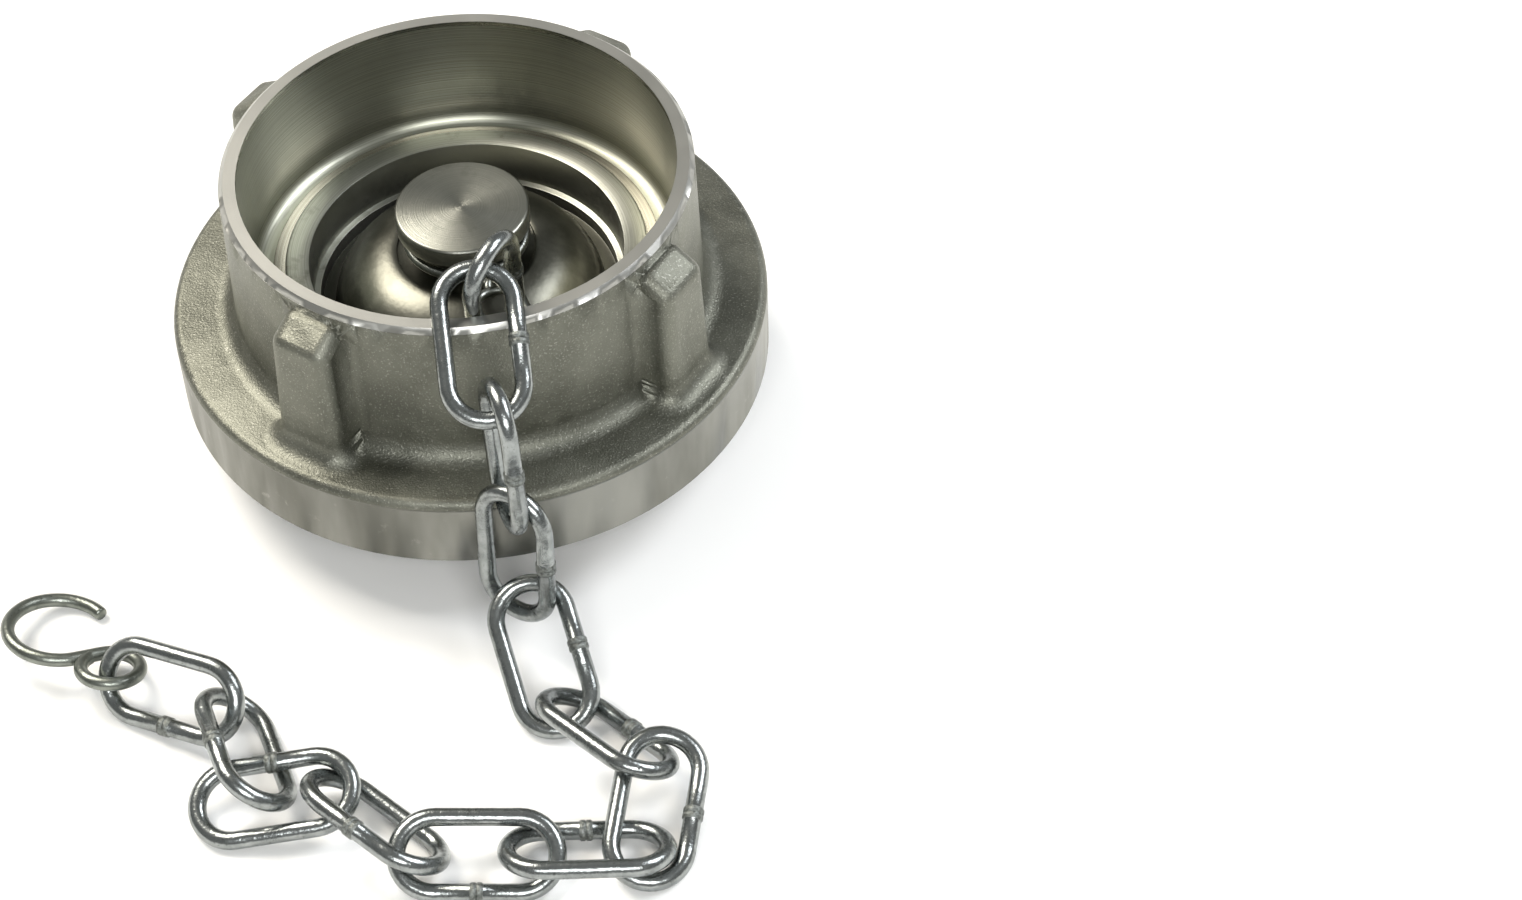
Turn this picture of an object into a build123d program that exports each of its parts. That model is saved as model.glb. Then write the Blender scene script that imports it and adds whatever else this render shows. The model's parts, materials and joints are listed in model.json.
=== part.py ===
from build123d import *
import os

# Blind cap for a 52 mm lug coupling, with its captive chain and hook. Millimetres.
# The origin is the centre of the mating face, on the cap's axis. +Z points from the mating face
# to the back, so the cap lies face down and stands on the ends of its two lugs.

# coupling ring
FLANGE_R = 49.0
FLANGE_TOP_Z = 14.4
FLANGE_CHAMFER = 1.4
FLANGE_ROUND = 1.5
RIM_Z = 41.3
RIM_CHAMFER = 0.8
NECK_R = 37.9
NECK_FOOT_R = 38.6
NECK_FILLET = 3.6
BORE_R = 35.1
BORE_FILLET = 2.4
WEB_TOP_Z = 19.6
WEB_FRONT_Z = 12.0
HUB_BORE_R = 29.9
CAVITY_R = 41.8

# engagement lips, one before each lug
LIP_R = 38.4
LIP_THICKNESS = 5.4
LIP_BEVEL = 0.8
LIP_START = 15.0
LIP_ARC = 32.0

# lugs, at half of the 66 mm lug distance
LUG_COUNT = 2
LUG_INNER_R = 33.0
LUG_STEM_R = 37.6
LUG_HOOK_R = 42.2
LUG_FOOT_R = 43.0
LUG_HEIGHT = 11.0
LUG_HOOK_DEPTH = 3.2
LUG_UNDERCUT = 1.0
LUG_ARC = 30.0
LUG_ROUND = 1.8
LUG_EDGE = 0.6

# grip ribs on the neck
RIB_COUNT = 4
RIB_FIRST_ANGLE = -33.0
RIB_IN_R = 36.6
RIB_OUT_R = 44.0
RIB_WIDTH = 12.6
RIB_TOP_Z = 39.0
RIB_SHOULDER_Z = 36.4
RIB_SHOULDER_IN = 5.0
RIB_DRAFT = 2.6
RIB_ROUND = 2.4

# blind body
HUB_R = 29.6
HUB_TOP_Z = 22.4
HUB_EDGE = 0.3
HUB_INNER_R = 25.7
HUB_STEP_Z = 15.0
HUB_STEP_R = 24.6
TRENCH_Z = 12.6
COLLAR_R = 32.4
COLLAR_FRONT_Z = -1.0
COLLAR_BACK_Z = 11.8
BOWL_R = 21.8
BOWL_MOUTH_Z = 1.9
BOWL_MID = (17.4, 11.6)
BOWL_BOTTOM_Z = 17.7
BOWL_MARK_R = 9.8
BOWL_MARK_STEP = 0.3
DOME_FOOT_R = 22.4
DOME_MID = (19.6, 19.2)
SPOT_FACE_R = 12.3
SPOT_FACE_Z = 23.3
SPOT_STEP_R = 11.3
SPOT_STEP = 0.4

# chain knob on the blind body
KNOB_R = 10.9
KNOB_TOP_Z = 32.0
KNOB_EDGE_Z = 28.8
KNOB_NECK_R = 7.5
KNOB_UNDER_Z = 27.5
KNOB_CHAMFER = 0.35

# seal and its groove in the collar
SEAL_OUT_R = 31.9
SEAL_IN_R = 23.6
SEAL_BACK_Z = -1.05
SEAL_OUTER_Z = -2.6
SEAL_VALLEY_Z = -1.7
SEAL_LIP_Z = -3.9
GROOVE_OUT_R = 30.7
GROOVE_IN_R = 25.6
GROOVE_FLOOR_Z = 5.0
SEAL_FIT = 0.05

# snap ring that keeps the blind body in the coupling ring
SNAP_IN_R = 28.9
SNAP_OUT_R = 31.7
SNAP_THICKNESS = 1.5
SNAP_Z = 19.75
SNAP_GAP_ARC = 16.0
SNAP_GAP_AT = -100.0
SNAP_GROOVE_R = 28.75
SNAP_PLAY = 0.08

# wire clip round the knob
CLIP_WIRE = 1.6
CLIP_LOOP_R = 9.6
CLIP_SHIFT = 1.0
CLIP_Z = 26.6
CLIP_ANGLE = -71.0
CLIP_RISE = 9.0
EYE_START = 16.0
EYE_END = 28.0
EYE_WIDTH = 7.4
STEM_R = 1.25

# chain: one wire and one link size throughout
CHAIN_WIRE = 2.8
LINK_LENGTH = 26.8
LINK_WIDTH = 14.2
WELD_LENGTH = 2.0
WELD_SWELL = 0.22
WELD_EDGE = 0.2

# hook at the free end: one wire bent to an open hook and a closed eye
HOOK_WIRE = 2.2
HOOK_R = 7.9
HOOK_EYE_R = 4.6
HOOK_SHANK = 4.2
HOOK_TWIST = -6.0
HOOK_ARC = 255.0
HOOK_EYE_ARC = 335.0

GROUND_Z = -LUG_HEIGHT

# How the chain lies: each link's centre, the heading of its length in plan, its rise along its
# length and its roll about it. A centre with no height rests on the ground.
LINK_LAY = [
    ((6.8, -27.7, 38.6), -85, 78, 55),
    ((5.6, -40.7, 41.3), -83, -28, 0),
    ((8.2, -50.9, 27.3), -78, -78, 82),
    ((8.8, -54.3, 8.8), -102, -83, 21),
    ((12.5, -64.4), -72, -26, 14),
    ((22.5, -78.6), -46, 7, -34),
    ((30.0, -92.2), -100, -13, -10),
    ((19.8, -99.4), 183, 4, 204),
    ((3.4, -99.9), 181, 4, -25),
    ((-12.0, -94.0), 140, 4, 37),
    ((-27.7, -88.4), 183, -8, 162),
    ((-32.6, -80.2), 110, -7, 41),
    ((-45.0, -69.2), 154, -7, -52),
]
HOOK_LAY = ((-61.4, -60.4), 26, -15, -8)


def turned(edges, arc=360.0):
    """Revolves a closed outline, drawn as radius along X and height along Z."""
    return revolve(make_face(edges), Axis.Z, arc)


def outline(*points):
    """Straight-sided closed outline through (radius, height) points."""
    return Polyline(*[(r, 0, z) for r, z in points], close=True)


def run(*points):
    """Open run of straight edges through (radius, height) points."""
    return Polyline(*[(r, 0, z) for r, z in points])


def bend(start, middle, end):
    """Arc through three (radius, height) points."""
    return ThreePointArc(*[(r, 0, z) for r, z in (start, middle, end)])


def round_edges(solid, radius, height):
    """The circular edges of a solid at one radius and height."""
    circles = solid.edges().filter_by(GeomType.CIRCLE)
    return [
        edge
        for edge in circles
        if abs(edge.radius - radius) < 0.02 and abs(edge.arc_center.Z - height) < 0.02
    ]


def grip_rib():
    """Thumb-shaped rib on the neck, drafted on its sides, with a sloping top."""
    foot_z = FLANGE_TOP_Z - 1
    side = outline(
        (RIB_IN_R, foot_z),
        (RIB_OUT_R, foot_z),
        (RIB_OUT_R - 0.6, RIB_SHOULDER_Z),
        (RIB_OUT_R - RIB_SHOULDER_IN, RIB_TOP_Z),
        (RIB_IN_R, RIB_TOP_Z),
    )
    slab = extrude(make_face(side), RIB_WIDTH, both=True)
    plan = Rectangle(2 * (RIB_OUT_R - RIB_IN_R), RIB_WIDTH)
    plan = Plane(((RIB_IN_R + RIB_OUT_R) / 2, 0, foot_z)) * plan
    rib = slab & extrude(plan, RIB_TOP_Z - foot_z + 1, taper=RIB_DRAFT)
    outer = [
        edge
        for edge in rib.edges()
        if edge.center().X > RIB_IN_R + 0.5 and edge.center().Z > foot_z + 1
    ]
    return fillet(outer, RIB_ROUND)


def lug():
    """One hooked lug, centred on +X, with its foot across the mating cavity."""
    tip = -LUG_HEIGHT
    hook_root = tip + LUG_HOOK_DEPTH
    section = outline(
        (LUG_INNER_R, WEB_FRONT_Z),
        (LUG_INNER_R, tip),
        (LUG_HOOK_R, tip),
        (LUG_HOOK_R, hook_root),
        (LUG_STEM_R, hook_root + LUG_UNDERCUT),
        (LUG_STEM_R, 0),
        (LUG_FOOT_R, 0),
        (LUG_FOOT_R, WEB_FRONT_Z),
    )
    body = Rot(0, 0, -LUG_ARC / 2) * turned(section, LUG_ARC)
    body = fillet(round_edges(body, LUG_HOOK_R, tip), LUG_ROUND)
    return chamfer(round_edges(body, LUG_INNER_R, tip), LUG_EDGE)


def lip():
    """Inward lip that the mating cap's hooks turn behind."""
    section = outline(
        (CAVITY_R + 1, 0),
        (CAVITY_R + 1, LIP_THICKNESS),
        (LIP_R, LIP_THICKNESS),
        (LIP_R, LIP_BEVEL),
        (LIP_R + LIP_BEVEL, 0),
    )
    return Rot(0, 0, LIP_START) * turned(section, LIP_ARC)


def coupling_ring():
    """Forged ring: flange, neck, web, mating cavity, ribs, lips and lugs."""
    ring = turned(
        outline(
            (CAVITY_R, 0),
            (FLANGE_R - FLANGE_CHAMFER, 0),
            (FLANGE_R, FLANGE_CHAMFER),
            (FLANGE_R, FLANGE_TOP_Z),
            (NECK_FOOT_R, FLANGE_TOP_Z),
            (NECK_R, RIM_Z - RIM_CHAMFER),
            (NECK_R - RIM_CHAMFER, RIM_Z),
            (BORE_R, RIM_Z),
            (BORE_R, WEB_TOP_Z),
            (HUB_BORE_R, WEB_TOP_Z),
            (HUB_BORE_R, WEB_FRONT_Z),
            (CAVITY_R, WEB_FRONT_Z),
        )
    )
    ring = fillet(round_edges(ring, BORE_R, WEB_TOP_Z), BORE_FILLET)
    ring = fillet(round_edges(ring, FLANGE_R, FLANGE_TOP_Z), FLANGE_ROUND)
    for index in range(RIB_COUNT):
        ring += Rot(0, 0, RIB_FIRST_ANGLE + index * 360 / RIB_COUNT) * grip_rib()
    roots = [
        edge
        for edge in ring.edges()
        if abs(edge.bounding_box().min.Z - FLANGE_TOP_Z) < 0.01
        and abs(edge.bounding_box().max.Z - FLANGE_TOP_Z) < 0.01
        and Vector((edge @ 0.5).X, (edge @ 0.5).Y, 0).length < FLANGE_R - FLANGE_ROUND - 0.5
    ]
    ring = fillet(roots, NECK_FILLET)
    for index in range(LUG_COUNT):
        turn = Rot(0, 0, index * 360 / LUG_COUNT)
        ring += turn * lip()
        ring += turn * lug()
    return ring


def blind_body():
    """Turned insert: bowl, seal groove, collars, dished back and chain knob in one piece."""
    mark_z = BOWL_BOTTOM_Z - BOWL_MARK_STEP
    groove_top = SNAP_Z + SNAP_THICKNESS + SNAP_PLAY
    front = (
        run((0, BOWL_BOTTOM_Z), (BOWL_MARK_R, BOWL_BOTTOM_Z), (BOWL_MARK_R, mark_z))
        + bend((BOWL_MARK_R, mark_z), BOWL_MID, (BOWL_R, BOWL_MOUTH_Z))
        + run(
            (BOWL_R, BOWL_MOUTH_Z),
            (GROOVE_IN_R, BOWL_MOUTH_Z),
            (GROOVE_IN_R, GROOVE_FLOOR_Z),
            (GROOVE_OUT_R, GROOVE_FLOOR_Z),
            (GROOVE_OUT_R, COLLAR_FRONT_Z),
            (COLLAR_R, COLLAR_FRONT_Z),
            (COLLAR_R, COLLAR_BACK_Z),
            (HUB_R, COLLAR_BACK_Z),
            (HUB_R, SNAP_Z - SNAP_PLAY),
            (SNAP_GROOVE_R, SNAP_Z - SNAP_PLAY),
            (SNAP_GROOVE_R, groove_top),
            (HUB_R, groove_top),
            (HUB_R, HUB_TOP_Z - HUB_EDGE),
            (HUB_R - HUB_EDGE, HUB_TOP_Z),
            (HUB_INNER_R, HUB_TOP_Z),
            (HUB_INNER_R, HUB_STEP_Z),
            (HUB_STEP_R, HUB_STEP_Z),
            (HUB_STEP_R, TRENCH_Z),
            (DOME_FOOT_R, TRENCH_Z),
        )
    )
    back = bend((DOME_FOOT_R, TRENCH_Z), DOME_MID, (SPOT_FACE_R, SPOT_FACE_Z)) + run(
        (SPOT_FACE_R, SPOT_FACE_Z),
        (SPOT_STEP_R, SPOT_FACE_Z),
        (SPOT_STEP_R, SPOT_FACE_Z - SPOT_STEP),
        (KNOB_NECK_R, SPOT_FACE_Z - SPOT_STEP),
        (KNOB_NECK_R, KNOB_UNDER_Z),
        (KNOB_R, KNOB_EDGE_Z),
        (KNOB_R, KNOB_TOP_Z - KNOB_CHAMFER),
        (KNOB_R - KNOB_CHAMFER, KNOB_TOP_Z),
        (0, KNOB_TOP_Z),
        (0, BOWL_BOTTOM_Z),
    )
    return turned(front + back)


def seal_ring():
    """Rubber ring with a rounded outer bead, a valley and a proud inner lip."""
    root_in = GROOVE_IN_R + SEAL_FIT
    root_out = GROOVE_OUT_R - SEAL_FIT
    bead_in = SEAL_OUT_R - 3.4
    lip_out = SEAL_IN_R + 3.4
    shape = (
        run(
            (lip_out, SEAL_VALLEY_Z),
            (bead_in, SEAL_VALLEY_Z),
        )
        + bend((bead_in, SEAL_VALLEY_Z), ((bead_in + SEAL_OUT_R) / 2, SEAL_OUTER_Z), (SEAL_OUT_R, SEAL_VALLEY_Z))
        + run(
            (SEAL_OUT_R, SEAL_VALLEY_Z),
            (SEAL_OUT_R, SEAL_BACK_Z),
            (root_out, SEAL_BACK_Z),
            (root_out, GROOVE_FLOOR_Z - SEAL_FIT),
            (root_in, GROOVE_FLOOR_Z - SEAL_FIT),
            (root_in, BOWL_MOUTH_Z - SEAL_FIT),
            (SEAL_IN_R, BOWL_MOUTH_Z - SEAL_FIT),
            (SEAL_IN_R, SEAL_VALLEY_Z - 1.2),
        )
        + bend((SEAL_IN_R, SEAL_VALLEY_Z - 1.2), (SEAL_IN_R + 1.2, SEAL_LIP_Z), (lip_out, SEAL_VALLEY_Z))
    )
    return turned(shape)


def snap_ring():
    """Split flat ring in the rear collar's groove, its gap towards the chain."""
    section = outline(
        (SNAP_IN_R, SNAP_Z),
        (SNAP_OUT_R, SNAP_Z),
        (SNAP_OUT_R, SNAP_Z + SNAP_THICKNESS),
        (SNAP_IN_R, SNAP_Z + SNAP_THICKNESS),
    )
    ring = Rot(0, 0, SNAP_GAP_AT + SNAP_GAP_ARC / 2) * turned(section, 360 - SNAP_GAP_ARC)
    return fillet(round_edges(ring, SNAP_OUT_R, SNAP_Z + SNAP_THICKNESS), 0.5)


def wire_run(start, end, radius):
    """Straight wire from one point to another."""
    path = Vector(*end) - Vector(*start)
    return extrude(Plane(start, z_dir=tuple(path)) * Circle(radius), path.length)


def wire_arc(centre, along, normal, bend_r, arc, radius):
    """Wire bent round a centre, from the direction given, right-handed about the normal."""
    place = Plane(centre, x_dir=along, z_dir=normal)
    section = Pos(bend_r, 0, 0) * Rot(90, 0, 0) * Circle(radius)
    return place * revolve(section, Axis.Z, arc)


def oval(length, width, radius):
    """Closed oval of wire in the XY plane, its length along X, measured over the wire."""
    bend_r = width / 2 - radius
    straight = length / 2 - radius - bend_r
    wire = Part()
    for side in (1, -1):
        wire += wire_arc((side * straight, 0, 0), (0, -side, 0), (0, 0, 1), bend_r, 180, radius)
        wire += wire_run((-straight, side * bend_r, 0), (straight, side * bend_r, 0), radius)
    return wire


def chain_link():
    """Oval link with the swell of its butt weld half way along one side."""
    radius = CHAIN_WIRE / 2
    weld_y = LINK_WIDTH / 2 - radius
    weld = Pos(-WELD_LENGTH / 2, weld_y, 0) * Rot(0, 90, 0) * Cylinder(
        radius + WELD_SWELL, WELD_LENGTH, align=(Align.CENTER, Align.CENTER, Align.MIN)
    )
    weld = chamfer(weld.edges().filter_by(GeomType.CIRCLE), WELD_EDGE)
    return oval(LINK_LENGTH, LINK_WIDTH, radius) + weld


def laid(shape, origin, heading, rise, roll):
    """Shape moved to its lay. With no height given it is let down to the ground."""
    turn = Rot(0, 0, heading) * Rot(0, -rise, 0) * Rot(roll, 0, 0)
    placed = Pos(*origin[:2], 0) * turn * shape
    if len(origin) == 3:
        return Pos(0, 0, origin[2]) * placed
    return Pos(0, 0, GROUND_Z - placed.bounding_box().min.Z) * placed


def knob_clip():
    """Wire ring in the knob's groove, with a twisted stem and a long eye for the chain."""
    radius = CLIP_WIRE / 2
    loop = wire_arc((CLIP_SHIFT, 0, CLIP_Z), (1, 0, 0), (0, 0, 1), CLIP_LOOP_R, 360, radius)
    eye = oval(EYE_END - EYE_START + CLIP_WIRE, EYE_WIDTH + CLIP_WIRE, radius)
    root = CLIP_LOOP_R + CLIP_SHIFT
    tilt = Pos(root, 0, CLIP_Z) * Rot(0, -CLIP_RISE, 0)
    eye = tilt * Pos((EYE_START + EYE_END) / 2 - root, 0, 0) * eye
    stem = tilt * wire_run((0, 0, 0), (EYE_START - root, 0, 0), STEM_R)
    return Rot(0, 0, CLIP_ANGLE) * (loop + stem + eye)


def end_hook():
    """S-shaped hook: a closed eye on the last link and a wide open hook."""
    radius = HOOK_WIRE / 2
    bowl = wire_arc((0, HOOK_R, 0), (0, -1, 0), (0, 0, -1), HOOK_R, HOOK_ARC, radius)
    shank = wire_run((0, 0, 0), (HOOK_SHANK, 0, 0), radius)
    eye = wire_arc((HOOK_SHANK, -HOOK_EYE_R, 0), (0, 1, 0), (0, 0, -1), HOOK_EYE_R, HOOK_EYE_ARC, radius)
    return bowl + shank + Rot(HOOK_TWIST, 0, 0) * eye


def main():
    os.makedirs("parts", exist_ok=True)
    pieces = {
        "coupling_ring": coupling_ring(),
        "blind_body": blind_body(),
        "seal_ring": seal_ring(),
        "snap_ring": snap_ring(),
        "knob_clip": knob_clip(),
    }
    link = chain_link()
    for number, (centre, heading, rise, roll) in enumerate(LINK_LAY, start=1):
        pieces[f"chain_link_{number:02d}"] = laid(link, centre, heading, rise, roll)
    pieces["end_hook"] = laid(end_hook(), *HOOK_LAY)
    for name, solid in pieces.items():
        export_step(solid, f"parts/{name}.step")


main()
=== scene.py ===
import json
import math

import bmesh
import bpy
from bpy.props import FloatProperty, FloatVectorProperty, IntProperty, PointerProperty
from mathutils import Euler, Matrix, Vector


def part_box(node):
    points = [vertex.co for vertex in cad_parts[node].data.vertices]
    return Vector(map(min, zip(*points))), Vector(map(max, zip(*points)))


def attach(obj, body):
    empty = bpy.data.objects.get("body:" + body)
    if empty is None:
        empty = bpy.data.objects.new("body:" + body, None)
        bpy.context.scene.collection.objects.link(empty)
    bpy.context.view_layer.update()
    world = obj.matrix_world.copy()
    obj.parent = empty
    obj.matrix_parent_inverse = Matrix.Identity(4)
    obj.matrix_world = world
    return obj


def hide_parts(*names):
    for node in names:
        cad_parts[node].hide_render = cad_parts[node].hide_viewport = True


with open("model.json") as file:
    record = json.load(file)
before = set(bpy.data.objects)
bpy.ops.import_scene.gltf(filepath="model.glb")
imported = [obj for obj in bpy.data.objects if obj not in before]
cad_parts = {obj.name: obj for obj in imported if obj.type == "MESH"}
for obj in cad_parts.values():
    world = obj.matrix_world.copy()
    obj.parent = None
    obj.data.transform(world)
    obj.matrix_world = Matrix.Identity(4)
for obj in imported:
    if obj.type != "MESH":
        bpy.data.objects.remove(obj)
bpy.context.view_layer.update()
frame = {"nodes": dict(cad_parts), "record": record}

bl_info = {
    "name": "Blind cap with chain",
    "version": (1, 0, 0),
    "blender": (4, 5, 0),
    "location": "View3D > Sidebar > Blind cap",
    "description": "Dresses a forged blind cap, its turned insert, seal, welded chain and hook",
    "category": "Add Mesh",
}

MM = 0.001
GROUND = -0.011

# How each link lies: centre in plan in millimetres, heading, rise and roll in degrees.
LINKS = [
    ("chain_link_01", (6.8, -27.7), -85, 78, 55),
    ("chain_link_02", (5.6, -40.7), -83, -28, 0),
    ("chain_link_03", (8.2, -50.9), -78, -78, 82),
    ("chain_link_04", (8.8, -54.3), -102, -83, 21),
    ("chain_link_05", (12.5, -64.4), -72, -26, 14),
    ("chain_link_06", (22.5, -78.6), -46, 7, -34),
    ("chain_link_07", (30.0, -92.2), -100, -13, -10),
    ("chain_link_08", (19.8, -99.4), 183, 4, 204),
    ("chain_link_09", (3.4, -99.9), 181, 4, -25),
    ("chain_link_10", (-12.0, -94.0), 140, 4, 37),
    ("chain_link_11", (-27.7, -88.4), 183, -8, 162),
    ("chain_link_12", (-32.6, -80.2), 110, -7, 41),
    ("chain_link_13", (-45.0, -69.2), 154, -7, -52),
]
HOOK = ("end_hook", (-61.4, -60.4), 26, -15, -8)


def colour(name, description, value):
    return FloatVectorProperty(
        name=name, description=description, subtype="COLOR", size=3, min=0, max=1, default=value
    )


def length(name, description, value):
    return FloatProperty(
        name=name, description=description, default=value, min=0.0001, unit="LENGTH", precision=4
    )


def srgb(text):
    """Linear red, green and blue of an sRGB hex colour."""
    parts = [int(text[i : i + 2], 16) / 255 for i in (1, 3, 5)]
    return tuple(v / 12.92 if v <= 0.04045 else ((v + 0.055) / 1.055) ** 2.4 for v in parts)


class CapRingSettings(bpy.types.PropertyGroup):
    forged: colour("Forged", "Blasted skin of the forging", srgb("#7a7b71"))
    machined: colour("Machined", "Turned faces of the forging", srgb("#8f8f89"))
    bore: colour("Bore", "Turned bore of the neck", srgb("#8b8c80"))
    grit: length("Grit", "Size of the blasting dimples", 0.00035)
    smoothing: FloatProperty(
        name="Smoothing", description="Edges flatter than this shade smooth", default=math.radians(32), subtype="ANGLE"
    )


class CapInsertSettings(bpy.types.PropertyGroup):
    turned: colour("Turned", "Turned faces of the insert", srgb("#94958c"))
    dome: colour("Dome", "Satin dished back", srgb("#5b5b53"))
    steps: IntProperty(name="Steps", description="Facets round the insert", default=160, min=32, max=256)
    edge: length("Edge", "Width of the broken edges", 0.00018)


class CapSealSettings(bpy.types.PropertyGroup):
    rubber: colour("Rubber", "Moulded rubber", srgb("#141513"))
    steps: IntProperty(name="Steps", description="Facets round the seal", default=160, min=32, max=256)


class CapChainSettings(bpy.types.PropertyGroup):
    wire: length("Wire", "Diameter of the chain wire", 0.0028)
    link_length: length("Link length", "Length over the wire", 0.0268)
    link_width: length("Link width", "Width over the wire", 0.0142)
    weld: length("Weld", "Length of the butt weld", 0.002)
    swell: length("Swell", "How far the weld stands out", 0.0002)
    zinc: colour("Zinc", "Bright zinc plating", srgb("#969a99"))


class CapHookSettings(bpy.types.PropertyGroup):
    wire: length("Wire", "Diameter of the hook wire", 0.0022)
    radius: length("Hook radius", "Bend radius of the open hook", 0.0079)
    eye: length("Eye radius", "Bend radius of the closed eye", 0.0046)
    shank: length("Shank", "Straight between hook and eye", 0.0042)
    twist: FloatProperty(name="Twist", description="Turn of the eye", default=math.radians(-6), subtype="ANGLE")
    zinc: colour("Zinc", "Dull zinc plating", srgb("#82867f"))


class CapClipSettings(bpy.types.PropertyGroup):
    wire: length("Wire", "Diameter of the clip wire", 0.0016)
    loop: length("Loop radius", "Radius of the loop round the knob", 0.0096)
    angle: FloatProperty(name="Angle", description="Direction of the eye", default=math.radians(-71), subtype="ANGLE")
    rise: FloatProperty(name="Rise", description="Rise of the eye", default=math.radians(9), subtype="ANGLE")


class CapStageSettings(bpy.types.PropertyGroup):
    floor: colour("Floor", "Plain pale floor", srgb("#f4f4f2"))
    lens: FloatProperty(name="Lens", description="Focal length in millimetres", default=74.8, min=10)


def settings(name):
    return getattr(bpy.context.scene, "cap_" + name)


def deselect():
    if bpy.context.object and bpy.context.object.mode != "OBJECT":
        bpy.ops.object.mode_set(mode="OBJECT")
    bpy.ops.object.select_all(action="DESELECT")


def only(obj):
    deselect()
    obj.select_set(True)
    bpy.context.view_layer.objects.active = obj
    return obj


def settle(obj):
    """Puts the object's place, turn and scale into its mesh."""
    only(obj)
    bpy.ops.object.transform_apply(location=True, rotation=True, scale=True)


def modifier(obj, kind, **values):
    only(obj)
    added = obj.modifiers.new(kind.title(), kind)
    for key, value in values.items():
        setattr(added, key, value)
    bpy.ops.object.modifier_apply(modifier=added.name)


def select_where(obj, keep):
    """In edit mode, selects the vertices for which keep is true."""
    bpy.ops.mesh.select_mode(type="VERT")
    mesh = bmesh.from_edit_mesh(obj.data)
    for vertex in mesh.verts:
        vertex.select = keep(vertex.co)
    mesh.select_flush(True)
    mesh.select_flush(False)
    bmesh.update_edit_mesh(obj.data)


def weld_and_turn_out():
    """In edit mode, closes seams and points all faces outwards."""
    bpy.ops.mesh.select_all(action="SELECT")
    bpy.ops.mesh.remove_doubles(threshold=1e-6)
    bpy.ops.mesh.normals_make_consistent(inside=False)


def smooth(obj, degrees):
    only(obj)
    bpy.ops.object.shade_smooth_by_angle(angle=math.radians(degrees))


def traced(name, points):
    """A run of edges through (radius, height) points in millimetres, drawn in the XZ plane."""
    deselect()
    bpy.ops.mesh.primitive_plane_add(size=MM, location=(0, 0, 0))
    obj = bpy.context.object
    obj.name = name
    bpy.ops.object.mode_set(mode="EDIT")
    bpy.ops.mesh.merge(type="CENTER")
    here = Vector((0, 0, 0))
    first = Vector((points[0][0] * MM, 0, points[0][1] * MM))
    bpy.ops.transform.translate(value=first - here)
    here = first
    for radius, height in points[1:]:
        there = Vector((radius * MM, 0, height * MM))
        bpy.ops.mesh.extrude_region_move(TRANSFORM_OT_translate={"value": there - here})
        here = there
    return obj


def turned_piece(name, points, steps, closed=True):
    """Spins a traced outline round the Z axis."""
    obj = traced(name, points + points[:1] if closed else points)
    bpy.ops.mesh.select_all(action="SELECT")
    bpy.ops.mesh.remove_doubles(threshold=1e-6)
    bpy.ops.mesh.select_all(action="SELECT")
    bpy.ops.mesh.spin(steps=steps, angle=2 * math.pi, center=(0, 0, 0), axis=(0, 0, 1))
    weld_and_turn_out()
    bpy.ops.object.mode_set(mode="OBJECT")
    return obj


def arc(start, middle, end, count):
    """Points on the arc through three (radius, height) points, both ends included."""
    ax, ay = start
    bx, by = middle
    cx, cy = end
    d = 2 * (ax * (by - cy) + bx * (cy - ay) + cx * (ay - by))
    ux = ((ax**2 + ay**2) * (by - cy) + (bx**2 + by**2) * (cy - ay) + (cx**2 + cy**2) * (ay - by)) / d
    uy = ((ax**2 + ay**2) * (cx - bx) + (bx**2 + by**2) * (ax - cx) + (cx**2 + cy**2) * (bx - ax)) / d
    radius = math.hypot(ax - ux, ay - uy)
    first = math.atan2(ay - uy, ax - ux)
    mid = math.atan2(by - uy, bx - ux)
    last = math.atan2(cy - uy, cx - ux)
    turn = (last - first) % (2 * math.pi)
    if (mid - first) % (2 * math.pi) > turn:
        turn -= 2 * math.pi
    angles = [first + turn * i / (count - 1) for i in range(count)]
    return [(ux + radius * math.cos(a), uy + radius * math.sin(a)) for a in angles]


def wire_start(name, radius, place, sides=20):
    """A round wire's section at a place, facing along X, ready to be drawn on."""
    deselect()
    bpy.ops.mesh.primitive_circle_add(
        vertices=sides, radius=radius, location=place, rotation=(0, math.pi / 2, 0)
    )
    obj = bpy.context.object
    obj.name = name
    settle(obj)
    bpy.ops.object.mode_set(mode="EDIT")
    bpy.ops.mesh.select_all(action="SELECT")
    return obj


def draw(step):
    bpy.ops.mesh.extrude_region_move(TRANSFORM_OT_translate={"value": step})


def bend(centre, axis, angle, steps):
    """Spins what is selected round an axis, clockwise as seen against the axis."""
    bpy.ops.mesh.spin(steps=steps, angle=angle, center=centre, axis=axis)


def node(tree, kind, inputs=None, **values):
    """Adds a node, sets its values, and sets or links its inputs."""
    added = tree.nodes.new(kind)
    for key, value in values.items():
        setattr(added, key, value)
    for key, value in (inputs or {}).items():
        if isinstance(value, bpy.types.NodeSocket):
            tree.links.new(value, added.inputs[key])
        else:
            added.inputs[key].default_value = value
    return added


def material(name, base, metallic, roughness):
    made = bpy.data.materials.new(name)
    made.use_nodes = True
    shader = made.node_tree.nodes["Principled BSDF"]
    shader.inputs["Base Color"].default_value = (*base, 1)
    shader.inputs["Metallic"].default_value = metallic
    shader.inputs["Roughness"].default_value = roughness
    return made, made.node_tree, shader


def maths(tree, operation, a, b=0.0, c=0.0):
    return node(tree, "ShaderNodeMath", {0: a, 1: b, 2: c}, operation=operation).outputs[0]


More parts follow.
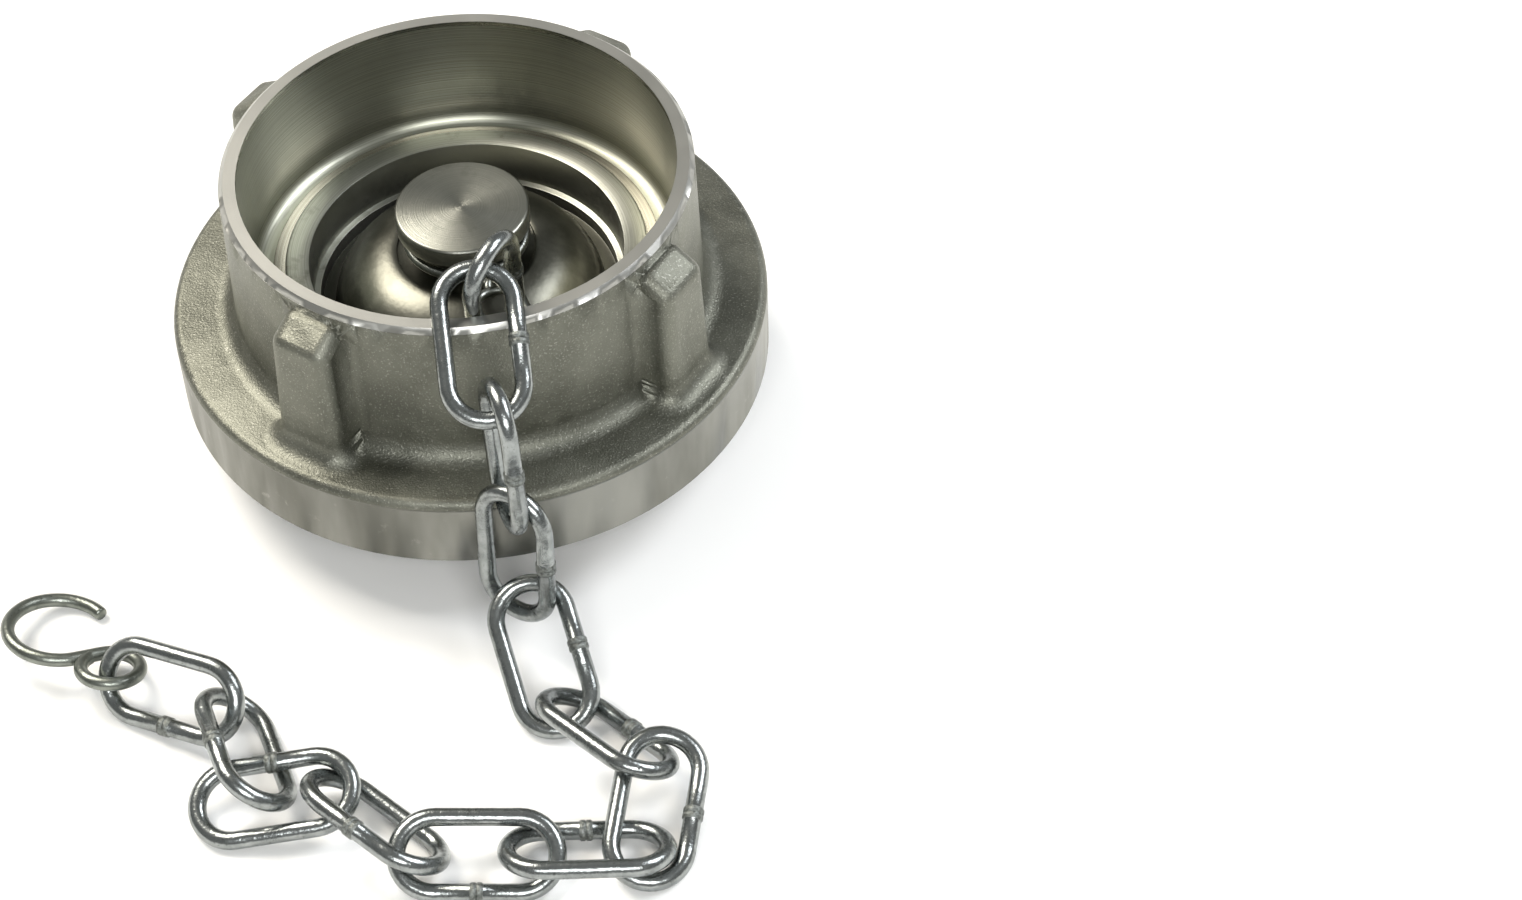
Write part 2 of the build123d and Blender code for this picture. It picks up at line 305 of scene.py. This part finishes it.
def ramp(tree, value, low, high, at_low=0.0, at_high=1.0):
    """Value mapped smoothly from one range to another."""
    return node(
        tree,
        "ShaderNodeMapRange",
        {"Value": value, "From Min": low, "From Max": high, "To Min": at_low, "To Max": at_high},
        interpolation_type="SMOOTHSTEP",
    ).outputs[0]


def blend_colour(tree, factor, a, b):
    """Colour a where the factor is 0 and colour b where it is 1."""
    mixed = tree.nodes.new("ShaderNodeMix")
    mixed.data_type = "RGBA"
    for key, value in ((0, factor), (6, a), (7, b)):
        if isinstance(value, bpy.types.NodeSocket):
            tree.links.new(value, mixed.inputs[key])
        elif key:
            mixed.inputs[key].default_value = (*value, 1)
        else:
            mixed.inputs[key].default_value = value
    return mixed.outputs[2]


def place(tree):
    """Object coordinates with radius and height in metres."""
    coords = node(tree, "ShaderNodeTexCoord").outputs["Object"]
    split = node(tree, "ShaderNodeSeparateXYZ", {0: coords})
    x, y, z = split.outputs
    squares = maths(tree, "ADD", maths(tree, "MULTIPLY", x, x), maths(tree, "MULTIPLY", y, y))
    return coords, z, maths(tree, "SQRT", squares)


def noise(tree, where, scale, detail=3.0, rough=0.55, stretch=None):
    """Noise whose features are about one over the scale, in metres."""
    if stretch:
        where = node(tree, "ShaderNodeMapping", {"Vector": where, "Scale": stretch}).outputs[0]
    return node(
        tree, "ShaderNodeTexNoise", {"Vector": where, "Scale": scale, "Detail": detail, "Roughness": rough}
    ).outputs[0]


def lines(tree, value, scale, detail=2.0):
    """Irregular parallel tool marks that follow one value, such as radius or height."""
    return node(
        tree, "ShaderNodeTexNoise", {"W": value, "Scale": scale, "Detail": detail}, noise_dimensions="1D"
    ).outputs[0]


def bump(tree, shader, layers):
    """Chains (height, distance in metres) layers into the shader's normal."""
    normal = None
    for height, distance in layers:
        inputs = {"Height": height, "Distance": distance, "Strength": 1.0}
        if normal:
            inputs["Normal"] = normal
        normal = node(tree, "ShaderNodeBump", inputs).outputs[0]
    tree.links.new(normal, shader.inputs["Normal"])


def lathe_sheen(tree, shader, amount):
    """Stretches highlights across the tool marks of a piece turned round the Z axis."""
    tangent = node(tree, "ShaderNodeTangent", direction_type="RADIAL", axis="Z").outputs[0]
    tree.links.new(tangent, shader.inputs["Tangent"])
    tree.links.new(amount, shader.inputs["Anisotropic"])
    shader.inputs["Anisotropic Rotation"].default_value = 0.25


def blasted_forging():
    """Forged aluminium, shot blasted: an even, slightly olive satin skin, finely dimpled, with painted glints
    as lighter specks for its sparkle, and bright turned faces where the ring was machined."""
    values = settings("ring")
    made, tree, shader = material("blasted_forged_aluminium", values.forged, 1.0, 0.5)
    coords, z, radius = place(tree)
    dimples_and_glints = noise(tree, coords, 1 / values.grit, 2.0, 0.6)
    patches = noise(tree, coords, 90, 4.0, 0.6)
    smears = noise(tree, coords, 260, 4.0, 0.65)
    skin = blend_colour(tree, ramp(tree, patches, 0.3, 0.7), srgb("#66675e"), values.forged)
    # painted glints: where the dimple noise peaks, the skin is lightened to #9c9c93, standing in for the sparkle of
    # light on the blasted surface; the same noise also gives the real dimple bumps below
    skin = blend_colour(tree, ramp(tree, dimples_and_glints, 0.56, 0.74), skin, srgb("#9c9c93"))
    # turned faces: rim, rim bevel, outer wall of the flange and the mating side
    rim = ramp(tree, z, 0.04045, 0.04050)
    wall = maths(tree, "MULTIPLY", ramp(tree, radius, 0.04870, 0.04885), ramp(tree, z, 0.0132, 0.0127))
    under = ramp(tree, z, 0.0011, 0.0008)
    machined = maths(tree, "MAXIMUM", rim, maths(tree, "MAXIMUM", wall, under))
    bore = maths(tree, "MULTIPLY", ramp(tree, radius, 0.03535, 0.03525), ramp(tree, z, 0.018, 0.0182))
    bore = maths(tree, "MULTIPLY", bore, ramp(tree, z, 0.04125, 0.04120))
    face_marks = lines(tree, radius, 5200)
    wall_marks = lines(tree, z, 4200)
    streaks = noise(tree, coords, 60, 4.0, 0.6, (1.0, 1.0, 0.25))
    wall_colour = blend_colour(tree, ramp(tree, streaks, 0.35, 0.65), srgb("#73736c"), values.machined)
    wall_colour = blend_colour(tree, ramp(tree, smears, 0.62, 0.75), wall_colour, srgb("#95958e"))
    bore_colour = blend_colour(tree, ramp(tree, wall_marks, 0.3, 0.7), values.bore, srgb("#a3a497"))
    base = blend_colour(tree, machined, skin, wall_colour)
    base = blend_colour(tree, rim, base, srgb("#a6a6a1"))
    base = blend_colour(tree, bore, base, bore_colour)
    tree.links.new(base, shader.inputs["Base Color"])
    rough = maths(tree, "MULTIPLY_ADD", patches, 0.12, 0.42)
    rough = maths(tree, "MULTIPLY_ADD", machined, -0.1, rough)
    rough = maths(tree, "MULTIPLY_ADD", bore, -0.12, rough)
    tree.links.new(rough, shader.inputs["Roughness"])
    plain = maths(tree, "SUBTRACT", 1.0, maths(tree, "MAXIMUM", machined, bore))
    lathe_sheen(tree, shader, maths(tree, "MULTIPLY", bore, 0.55))
    bump(
        tree,
        shader,
        [
            (maths(tree, "MULTIPLY", dimples_and_glints, plain), 0.00009),
            (maths(tree, "MULTIPLY", patches, plain), 0.0003),
            (maths(tree, "MULTIPLY", wall_marks, maths(tree, "MAXIMUM", wall, bore)), 0.000008),
            (maths(tree, "MULTIPLY", face_marks, rim), 0.000008),
        ],
    )
    return made


def turned_insert():
    """Aluminium turned on a lathe: fine tool rings that draw the light out into soft streaks,
    bright on the flat faces and a darker satin on the dished back."""
    values = settings("insert")
    made, tree, shader = material("turned_aluminium", values.turned, 1.0, 0.3)
    coords, z, radius = place(tree)
    rings = lines(tree, radius, 4600)
    fine = lines(tree, radius, 14000)
    peel = noise(tree, coords, 1400, 2.0, 0.5)
    stains = noise(tree, coords, 160, 5.0, 0.6)
    dished = maths(tree, "MULTIPLY", ramp(tree, radius, 0.0246, 0.0245), ramp(tree, z, 0.0262, 0.0260))
    # Painted shade: inside the dished region, below about 15 mm height, the colour goes to near black, standing in for
    # the shadow in the sunken ring at the foot of the dome; most of the bowl on the mating side falls under the same
    # mask.
    painted_trench_shade = maths(tree, "MULTIPLY", dished, ramp(tree, z, 0.0165, 0.0135))
    knob = maths(tree, "MULTIPLY", ramp(tree, z, 0.0314, 0.0316), ramp(tree, radius, 0.0112, 0.0110))
    base = blend_colour(tree, ramp(tree, rings, 0.3, 0.7), values.turned, srgb("#a3a49b"))
    base = blend_colour(tree, ramp(tree, stains, 0.55, 0.7), base, srgb("#7c7d74"))
    satin = blend_colour(tree, ramp(tree, stains, 0.4, 0.65), values.dome, srgb("#6b6b62"))
    base = blend_colour(tree, dished, base, satin)
    # painted shade: near-black #34342f laid where the shadow mask is
    base = blend_colour(tree, painted_trench_shade, base, srgb("#34342f"))
    base = blend_colour(tree, maths(tree, "MULTIPLY", knob, 0.6), base, srgb("#75766f"))
    tree.links.new(base, shader.inputs["Base Color"])
    rough = maths(tree, "MULTIPLY_ADD", stains, 0.16, 0.24)
    tree.links.new(rough, shader.inputs["Roughness"])
    turned = maths(tree, "SUBTRACT", 1.0, dished)
    lathe_sheen(tree, shader, maths(tree, "MULTIPLY", turned, 0.5))
    bump(
        tree,
        shader,
        [
            (maths(tree, "MULTIPLY", rings, turned), 0.000018),
            (maths(tree, "MULTIPLY", fine, knob), 0.000012),
            (maths(tree, "MULTIPLY", peel, dished), 0.00002),
        ],
    )
    return made


def moulded_rubber():
    """Moulded black rubber: a smooth dark skin with a soft sheen and a faint dust bloom."""
    values = settings("seal")
    made, tree, shader = material("moulded_black_rubber", values.rubber, 0.0, 0.34)
    coords, z, radius = place(tree)
    bloom = noise(tree, coords, 220, 5.0, 0.6)
    base = blend_colour(tree, ramp(tree, bloom, 0.5, 0.75), values.rubber, srgb("#20211f"))
    tree.links.new(base, shader.inputs["Base Color"])
    tree.links.new(maths(tree, "MULTIPLY_ADD", bloom, 0.2, 0.25), shader.inputs["Roughness"])
    bump(tree, shader, [(noise(tree, coords, 3000, 2.0), 0.00001)])
    return made


def zinc_plate(name, base_colour, shade, dark, roughness):
    """Zinc-plated steel wire: bright, slightly cloudy plating with drawing marks and dull spots."""
    made, tree, shader = material(name, base_colour, 1.0, roughness)
    coords, z, radius = place(tree)
    cloud = noise(tree, coords, 420, 4.0, 0.6)
    speck = noise(tree, coords, 2200, 3.0, 0.6)
    base = blend_colour(tree, ramp(tree, cloud, 0.35, 0.7), base_colour, shade)
    base = blend_colour(tree, ramp(tree, speck, 0.62, 0.72), base, dark)
    tree.links.new(base, shader.inputs["Base Color"])
    tree.links.new(maths(tree, "MULTIPLY_ADD", cloud, 0.22, roughness - 0.08), shader.inputs["Roughness"])
    bump(tree, shader, [(cloud, 0.00012), (speck, 0.00002)])
    return made


def weld_scale():
    """Butt weld after plating: rough, greyer metal."""
    made, tree, shader = material("plated_weld", srgb("#757977"), 1.0, 0.42)
    coords, z, radius = place(tree)
    crust = noise(tree, coords, 1800, 4.0, 0.7)
    base = blend_colour(tree, ramp(tree, crust, 0.35, 0.65), srgb("#5c5f5b"), srgb("#878b88"))
    tree.links.new(base, shader.inputs["Base Color"])
    bump(tree, shader, [(crust, 0.00018)])
    return made


def spring_steel():
    """Bright rolled spring steel: smooth with fine lengthwise rolling marks."""
    made, tree, shader = material("rolled_spring_steel", srgb("#b9b4aa"), 1.0, 0.25)
    coords, z, radius = place(tree)
    marks = lines(tree, radius, 6000)
    base = blend_colour(tree, ramp(tree, marks, 0.35, 0.65), srgb("#a7a298"), srgb("#c9c5bb"))
    tree.links.new(base, shader.inputs["Base Color"])
    bump(tree, shader, [(marks, 0.00001)])
    return made


def finished(obj, node_name, slot_name, *materials):
    """Gives a finished piece its materials and its body, and hides the CAD node that it stands for."""
    obj.data.materials.clear()
    for item in materials:
        obj.data.materials.append(item)
    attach(obj, body_of_node(node_name))
    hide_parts(node_name)


def body_of_node(node_name):
    for body, nodes in frame["record"]["behaviour"]["bodies"].items():
        if node_name in nodes:
            return body
    raise ValueError(node_name)


class CAP_OT_ring(bpy.types.Operator):
    """Smooth-shaded skin of the forged ring, with blasted and turned finishes"""

    bl_idname = "cap.ring"
    bl_label = "Forged ring"

    def execute(self, context):
        source = frame["nodes"]["coupling_ring"]
        deselect()
        ring = source.copy()
        ring.data = source.data.copy()
        ring.name = "forged_ring"
        ring.parent = None
        context.collection.objects.link(ring)
        only(ring)
        bpy.ops.object.mode_set(mode="EDIT")
        bpy.ops.mesh.select_all(action="SELECT")
        bpy.ops.mesh.remove_doubles(threshold=2e-6)
        bpy.ops.mesh.tris_convert_to_quads(face_threshold=math.radians(8), shape_threshold=math.radians(60))
        bpy.ops.object.mode_set(mode="OBJECT")
        smooth(ring, math.degrees(settings("ring").smoothing))
        finished(ring, "coupling_ring", "forged_aluminium", blasted_forging())
        return {"FINISHED"}


class CAP_OT_insert(bpy.types.Operator):
    """Turned insert: bowl, seal groove, dished back and knob, spun from one outline"""

    bl_idname = "cap.insert"
    bl_label = "Turned insert"

    def execute(self, context):
        values = settings("insert")
        outline = [(0.0, 17.7), (9.8, 17.7)]
        outline += arc((9.8, 17.4), (17.4, 11.6), (21.8, 1.9), 22)
        outline += [
            (25.6, 1.9),
            (25.6, 5.0),
            (30.7, 5.0),
            (30.7, -1.0),
            (32.4, -1.0),
            (32.4, 11.8),
            (29.6, 11.8),
            (29.6, 19.67),
            (28.75, 19.67),
            (28.75, 21.33),
            (29.6, 21.33),
            (29.6, 22.1),
            (29.3, 22.4),
            (25.7, 22.4),
            (25.7, 15.0),
            (24.6, 15.0),
            (24.6, 12.6),
        ]
        outline += arc((22.4, 12.6), (19.6, 19.2), (12.3, 23.3), 18)
        outline += [
            (11.3, 23.3),
            (11.3, 22.9),
            (7.5, 22.9),
            (7.5, 27.5),
            (10.9, 28.8),
            (10.9, 31.65),
            (10.55, 32.0),
            (0.0, 32.0),
        ]
        insert = turned_piece("turned_insert", outline, values.steps, closed=False)
        modifier(
            insert,
            "BEVEL",
            width=values.edge,
            segments=2,
            limit_method="ANGLE",
            angle_limit=math.radians(35),
            harden_normals=False,
        )
        smooth(insert, 30)
        finished(insert, "blind_body", "turned_aluminium", turned_insert())
        return {"FINISHED"}


class CAP_OT_seal(bpy.types.Operator):
    """Rubber seal with a rounded bead, a valley and a proud lip"""

    bl_idname = "cap.seal"
    bl_label = "Rubber seal"

    def execute(self, context):
        outline = [(27.0, -1.7)]
        outline += arc((28.5, -1.7), (30.2, -2.6), (31.9, -1.7), 12)
        outline += [(31.9, -1.05), (30.65, -1.05), (30.65, 4.95), (25.65, 4.95), (25.65, 1.85), (23.6, 1.85)]
        outline += arc((23.6, -2.9), (24.8, -3.9), (27.0, -1.7), 12)
        seal = turned_piece("rubber_seal", outline[:-1], settings("seal").steps)
        modifier(
            seal, "BEVEL", width=0.00015, segments=2, limit_method="ANGLE", angle_limit=math.radians(40)
        )
        smooth(seal, 40)
        finished(seal, "seal_ring", "seal_rubber", moulded_rubber())
        return {"FINISHED"}


class CAP_OT_snap(bpy.types.Operator):
    """Split snap ring, with its gap towards the chain"""

    bl_idname = "cap.snap"
    bl_label = "Snap ring"

    def execute(self, context):
        gap = math.radians(16)
        ring = traced("snap_ring_steel", [(28.9, 19.75), (31.7, 19.75), (31.7, 21.25), (28.9, 21.25), (28.9, 19.75)])
        bpy.ops.mesh.select_all(action="SELECT")
        bpy.ops.mesh.remove_doubles(threshold=1e-6)
        bpy.ops.mesh.select_all(action="SELECT")
        bpy.ops.mesh.edge_face_add()
        bpy.ops.mesh.spin(steps=140, angle=2 * math.pi - gap, center=(0, 0, 0), axis=(0, 0, 1))
        weld_and_turn_out()
        bpy.ops.object.mode_set(mode="OBJECT")
        ring.rotation_euler = (0, 0, math.radians(-100) - gap / 2)
        settle(ring)
        only(ring)
        bpy.ops.object.mode_set(mode="EDIT")
        weld_and_turn_out()
        bpy.ops.object.mode_set(mode="OBJECT")
        modifier(
            ring, "BEVEL", width=0.00025, segments=3, limit_method="ANGLE", angle_limit=math.radians(40)
        )
        smooth(ring, 40)
        finished(ring, "snap_ring", "spring_steel", spring_steel())
        return {"FINISHED"}


def laid(obj, node_name, centre, heading, rise, roll):
    """Turns a piece to its lay and lets it down to the lowest point of the CAD node it stands for."""
    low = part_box(node_name)[0]
    obj.rotation_euler = Euler((math.radians(roll), math.radians(-rise), math.radians(heading)), "XYZ")
    obj.location = (centre[0] * MM, centre[1] * MM, 0)
    settle(obj)
    lowest = min(vertex.co.z for vertex in obj.data.vertices)
    obj.location.z = low[2] - lowest
    settle(obj)


def welded_link(values):
    """One link drawn from its weld: along the side, round both ends and back to the weld."""
    wire = values.wire / 2
    bend_r = values.link_width / 2 - wire
    straight = values.link_length / 2 - wire - bend_r
    half = values.weld / 2
    link = wire_start("link", wire, (half, bend_r, 0), 24)
    draw((straight - half, 0, 0))
    bend((straight, 0, 0), (0, 0, 1), math.pi, 20)
    draw((-2 * straight, 0, 0))
    bend((-straight, 0, 0), (0, 0, 1), math.pi, 20)
    draw((straight - half, 0, 0))
    grown = (wire + values.swell) / wire
    groove = (wire + 0.3 * values.swell) / wire
    scales = (grown, 1.0, groove / grown, grown / groove, 1.0, 1 / grown)
    steps = (0.12, 0.3, 0.08, 0.08, 0.3, 0.12)
    for step, scale in zip(steps, scales):
        draw((values.weld * step, 0, 0))
        bpy.ops.transform.resize(value=(1, scale, scale), center_override=(0, bend_r, 0))
    weld_and_turn_out()
    bpy.ops.object.mode_set(mode="OBJECT")
    for face in link.data.polygons:
        middle = face.center
        face.material_index = int(middle.y > 0 and abs(middle.x) < half)
    smooth(link, 50)
    return link


class CAP_OT_chain(bpy.types.Operator):
    """Thirteen butt-welded links, modelled once and laid one by one"""

    bl_idname = "cap.chain"
    bl_label = "Chain"

    def execute(self, context):
        values = settings("chain")
        plate = zinc_plate("bright_zinc_plate", values.zinc, srgb("#7d8180"), srgb("#5d605d"), 0.22)
        weld = weld_scale()
        pattern = welded_link(values)
        for node_name, centre, heading, rise, roll in LINKS:
            link = pattern.copy()
            link.data = pattern.data.copy()
            link.name = "welded_" + node_name[6:]
            context.collection.objects.link(link)
            laid(link, node_name, centre, heading, rise, roll)
            faces = [face.material_index for face in link.data.polygons]
            finished(link, node_name, "zinc_plated_steel", plate, weld)
            for face, index in zip(link.data.polygons, faces):
                face.material_index = index
        bpy.data.objects.remove(pattern)
        return {"FINISHED"}


class CAP_OT_hook(bpy.types.Operator):
    """Wire hook: an open hook, a short shank and a closed eye"""

    bl_idname = "cap.hook"
    bl_label = "Hook"

    def execute(self, context):
        values = settings("hook")
        wire = values.wire / 2
        hook = wire_start("wire_hook", wire, (0, 0, 0), 24)
        bend((0, values.radius, 0), (0, 0, 1), math.radians(255), 44)
        for step, scale in ((0.25, 0.9), (0.12, 0.7), (0.04, 0.4)):
            middle = self.tip(hook)
            out = Vector((math.cos(math.radians(-255)), math.sin(math.radians(-255)), 0)) * -wire
            draw(out * step)
            bpy.ops.transform.resize(value=(scale,) * 3, center_override=middle + out * step)
        bpy.ops.mesh.edge_face_add()
        select_where(hook, lambda co: abs(co.x) < 1e-6 and co.y < 2 * wire)
        draw((values.shank, 0, 0))
        axis = Matrix.Rotation(values.twist, 3, "X") @ Vector((0, 0, 1))
        centre = Vector((values.shank, 0, 0)) + Matrix.Rotation(values.twist, 3, "X") @ Vector((0, -values.eye, 0))
        bend(centre, axis, math.radians(335), 48)
        bpy.ops.mesh.edge_face_add()
        weld_and_turn_out()
        bpy.ops.object.mode_set(mode="OBJECT")
        laid(hook, *HOOK)
        smooth(hook, 50)
        dull = zinc_plate("dull_zinc_plate", values.zinc, srgb("#6f736c"), srgb("#575a54"), 0.32)
        finished(hook, "end_hook", "dull_zinc_steel", dull)
        return {"FINISHED"}

    def tip(self, hook):
        """Middle of what is selected."""
        mesh = bmesh.from_edit_mesh(hook.data)
        chosen = [vertex.co for vertex in mesh.verts if vertex.select]
        return sum(chosen, Vector()) / len(chosen)


class CAP_OT_clip(bpy.types.Operator):
    """Wire clip: a loop round the knob and a long eye for the first link"""

    bl_idname = "cap.clip"
    bl_label = "Knob clip"

    def execute(self, context):
        values = settings("clip")
        wire = values.wire / 2
        loop = wire_start("clip_loop", wire, (0.001, values.loop, 0), 16)
        bend((0.001, 0, 0), (0, 0, 1), 2 * math.pi, 64)
        weld_and_turn_out()
        bpy.ops.object.mode_set(mode="OBJECT")
        loop.location = (0, 0, 0.0266)
        settle(loop)
        root = values.loop + 0.001
        eye = wire_start("clip_eye", wire, (0.016 - root + 0.0037, 0.0037, 0), 16)
        side = 0.028 - 0.016 - 2 * 0.0037
        draw((side, 0, 0))
        bend((0.028 - root - 0.0037, 0, 0), (0, 0, 1), math.pi, 16)
        draw((-side, 0, 0))
        bend((0.016 - root + 0.0037, 0, 0), (0, 0, 1), math.pi, 16)
        weld_and_turn_out()
        bpy.ops.object.mode_set(mode="OBJECT")
        pieces = [loop, eye]
        for turn in (0, math.pi):
            pieces.append(self.strand(wire * 0.95, 0.016 - root, turn))
        for piece in pieces[1:]:
            piece.rotation_euler = (0, -values.rise, 0)
            piece.location = (root, 0, 0.0266)
            settle(piece)
        deselect()
        for piece in pieces:
            piece.select_set(True)
        bpy.context.view_layer.objects.active = loop
        bpy.ops.object.join()
        clip = bpy.context.object
        clip.name = "wire_clip"
        clip.rotation_euler = (0, 0, values.angle)
        settle(clip)
        smooth(clip, 50)
        plate = zinc_plate("clip_zinc_plate", srgb("#80837f"), srgb("#6b6e69"), srgb("#555852"), 0.28)
        finished(clip, "knob_clip", "zinc_plated_steel", plate)
        return {"FINISHED"}

    def strand(self, wire, reach, turn):
        """One of the two wires that twist round each other between the loop and the eye."""
        offset = 0.00048
        steps = 18
        sweep = math.radians(420)
        strand = wire_start("clip_strand", wire, (-0.0002, offset * math.cos(turn), offset * math.sin(turn)), 12)
        here = Vector((-0.0002, offset * math.cos(turn), offset * math.sin(turn)))
        for index in range(1, steps + 1):
            angle = turn + sweep * index / steps
            along = -0.0002 + (reach + 0.0006) * index / steps
            there = Vector((along, offset * math.cos(angle), offset * math.sin(angle)))
            draw(there - here)
            here = there
        bpy.ops.mesh.select_all(action="SELECT")
        bpy.ops.mesh.region_to_loop()
        bpy.ops.mesh.edge_face_add()
        weld_and_turn_out()
        bpy.ops.object.mode_set(mode="OBJECT")
        return strand


class CAP_OT_stage(bpy.types.Operator):
    """Pale floor, soft lamps and the camera at the photograph's angle"""

    bl_idname = "cap.stage"
    bl_label = "Stage"

    def execute(self, context):
        values = settings("stage")
        deselect()
        bpy.ops.mesh.primitive_plane_add(size=6, location=(0, 0, GROUND))
        floor = bpy.context.object
        floor.name = "floor"
        settle(floor)
        made, tree, shader = material("matte_paper", values.floor, 0.0, 0.9)
        floor.data.materials.append(made)

        self.lamp("key", (-0.45, 0.35, 0.75), 0.5, 0.5, 10.5, srgb("#fff8ee"))
        self.lamp("fill", (0.7, 0.2, 0.7), 0.5, 0.4, 7.0, srgb("#f8faff"))
        self.lamp("front", (0.1, -0.75, 0.65), 0.6, 0.3, 6.0, srgb("#ffffff"))

        world = bpy.data.worlds.new("studio")
        context.scene.world = world
        world.use_nodes = True
        world.node_tree.nodes["Background"].inputs["Color"].default_value = (*srgb("#c8cac8"), 1)
        world.node_tree.nodes["Background"].inputs["Strength"].default_value = 0.5

        camera = bpy.data.objects.new("camera", bpy.data.cameras.new("camera"))
        context.collection.objects.link(camera)
        camera.data.sensor_fit = "HORIZONTAL"
        camera.data.sensor_width = 36
        camera.data.lens = values.lens
        camera.data.clip_start = 0.01
        camera.location = (0.0472, -0.3761, 0.3782)
        tilt = Matrix.Rotation(math.radians(90 - 47.18), 3, "X")
        roll = Matrix.Rotation(math.radians(-1.51), 3, "Z")
        camera.rotation_euler = (tilt @ roll).to_euler()
        context.scene.camera = camera
        context.scene.view_settings.view_transform = "Standard"
        return {"FINISHED"}

    def lamp(self, name, position, width, depth, power, tint):
        light = bpy.data.lights.new(name, "AREA")
        light.shape = "RECTANGLE"
        light.size = width
        light.size_y = depth
        light.energy = power
        light.color = tint
        obj = bpy.data.objects.new(name, light)
        bpy.context.collection.objects.link(obj)
        obj.location = position
        obj.rotation_euler = (-Vector(position)).to_track_quat("-Z", "Y").to_euler()


class CAP_PT_panel(bpy.types.Panel):
    bl_label = "Blind cap"
    bl_idname = "CAP_PT_panel"
    bl_space_type = "VIEW_3D"
    bl_region_type = "UI"
    bl_category = "Blind cap"

    def draw(self, context):
        for name, label in GROUPS:
            box = self.layout.box()
            box.operator("cap." + name, text=label)
            values = settings(name)
            for key in values.__annotations__:
                box.prop(values, key)


GROUPS = (
    ("ring", "Forged ring"),
    ("insert", "Turned insert"),
    ("seal", "Rubber seal"),
    ("chain", "Chain"),
    ("hook", "Hook"),
    ("clip", "Knob clip"),
    ("stage", "Stage"),
)
SETTINGS = (
    CapRingSettings,
    CapInsertSettings,
    CapSealSettings,
    CapChainSettings,
    CapHookSettings,
    CapClipSettings,
    CapStageSettings,
)
OPERATORS = (
    CAP_OT_ring,
    CAP_OT_insert,
    CAP_OT_seal,
    CAP_OT_snap,
    CAP_OT_chain,
    CAP_OT_hook,
    CAP_OT_clip,
    CAP_OT_stage,
)


def register():
    for cls in SETTINGS + OPERATORS + (CAP_PT_panel,):
        bpy.utils.register_class(cls)
    for (name, label), cls in zip(GROUPS, SETTINGS):
        setattr(bpy.types.Scene, "cap_" + name, PointerProperty(type=cls))


def unregister():
    for name, label in GROUPS:
        delattr(bpy.types.Scene, "cap_" + name)
    for cls in reversed(SETTINGS + OPERATORS + (CAP_PT_panel,)):
        bpy.utils.unregister_class(cls)


def main():
    register()
    bpy.ops.cap.ring()
    bpy.ops.cap.insert()
    bpy.ops.cap.seal()
    bpy.ops.cap.snap()
    bpy.ops.cap.chain()
    bpy.ops.cap.hook()
    bpy.ops.cap.clip()
    bpy.ops.cap.stage()


if __name__ == "__main__":
    main()
